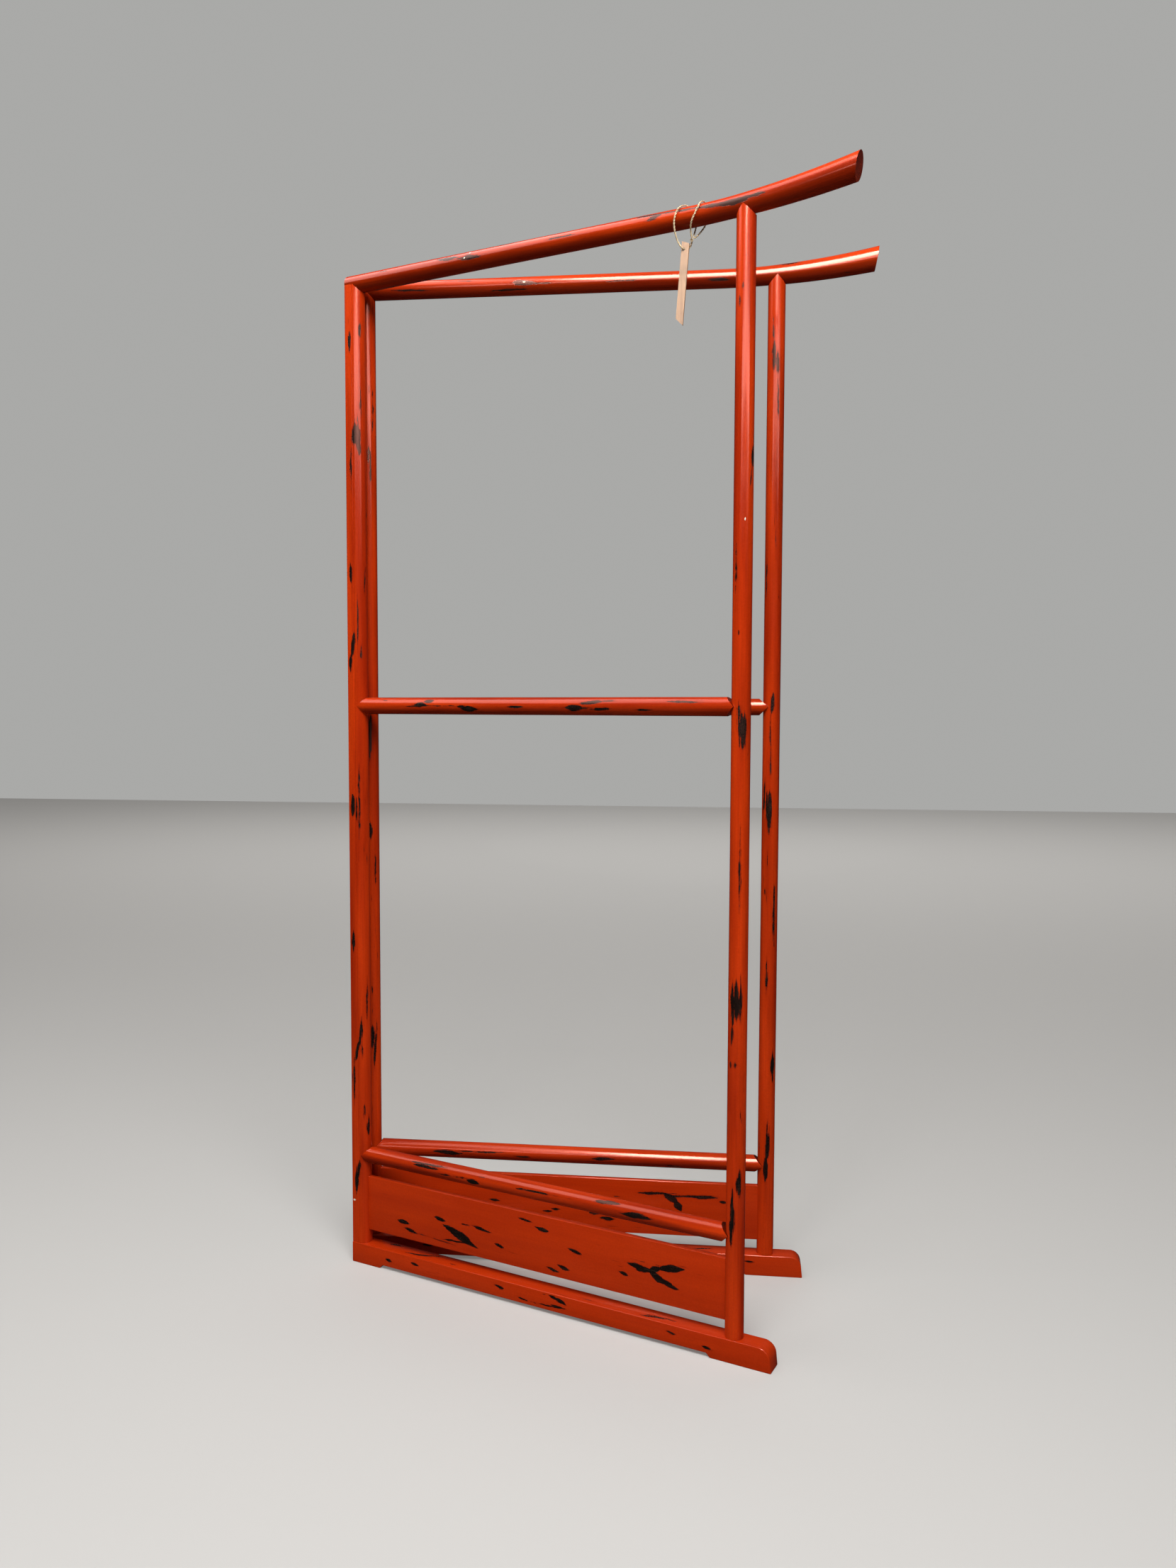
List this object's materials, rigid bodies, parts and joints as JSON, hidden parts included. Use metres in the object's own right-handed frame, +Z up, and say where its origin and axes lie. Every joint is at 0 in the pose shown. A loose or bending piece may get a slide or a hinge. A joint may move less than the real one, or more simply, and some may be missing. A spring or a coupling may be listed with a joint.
{
  "type": "folding garment rack",
  "caption": "Folding garment rack in red lacquered wood: hinged open frames with round rails, upswept top rail ends, low skirt boards and base runners.",
  "frame": {"origin": "on the floor, under the middle of the box round the whole rack as it stands open", "axes": "+Z up; +X along the rear wing from the hinge line to its free end; +Y away from the front wing"},
  "size_m": [0.7876, 0.3356, 1.5386],
  "materials": {
    "red_lacquer": "vermilion lacquer over black, semi-gloss, rubbed through to black in streaks along the grain",
    "hinge_brass": "aged satin brass",
    "screw_steel": "dull steel",
    "tag_bamboo": "bare matt bamboo",
    "tag_twine": "twisted natural fibre"
  },
  "bodies": {
    "rear_wing": {"rear_base_runner": "red_lacquer", "rear_hinge_post": "red_lacquer", "rear_outer_post": "red_lacquer", "rear_top_rail": "red_lacquer", "rear_middle_rail": "red_lacquer", "rear_lower_rail": "red_lacquer", "rear_skirt_board": "red_lacquer", "hinge_leaf_rear_top": "hinge_brass", "screw_rear_top_upper": "screw_steel", "screw_rear_top_lower": "screw_steel", "hinge_pin_top": "hinge_brass", "hinge_leaf_rear_middle": "hinge_brass", "screw_rear_middle_upper": "screw_steel", "screw_rear_middle_lower": "screw_steel", "hinge_pin_middle": "hinge_brass", "hinge_leaf_rear_bottom": "hinge_brass", "screw_rear_bottom_upper": "screw_steel", "screw_rear_bottom_lower": "screw_steel", "hinge_pin_bottom": "hinge_brass"},
    "front_wing": {"front_base_runner": "red_lacquer", "front_hinge_post": "red_lacquer", "front_outer_post": "red_lacquer", "front_top_rail": "red_lacquer", "front_middle_rail": "red_lacquer", "front_lower_rail": "red_lacquer", "front_skirt_board": "red_lacquer", "hinge_leaf_front_top": "hinge_brass", "screw_front_top_upper": "screw_steel", "screw_front_top_lower": "screw_steel", "hinge_leaf_front_middle": "hinge_brass", "screw_front_middle_upper": "screw_steel", "screw_front_middle_lower": "screw_steel", "hinge_leaf_front_bottom": "hinge_brass", "screw_front_bottom_upper": "screw_steel", "screw_front_bottom_lower": "screw_steel"},
    "tag": {"hang_tag": "tag_bamboo", "tag_cord": "tag_twine"}
  },
  "joints": [
    {"name": "wings_fold", "type": "hinge", "parent": "rear_wing", "child": "front_wing", "pos_m": [-0.38422, 0.13978, 0], "axis": [0, 0, 1], "range_deg": [-158.7, 20.5]},
    {"name": "tag_swing", "type": "hinge", "parent": "front_wing", "child": "tag", "pos_m": [0.12352, -0.07342, 1.5], "axis": [-0.9317, 0.3633, 0], "range_deg": [-30, 60]}
  ]
}
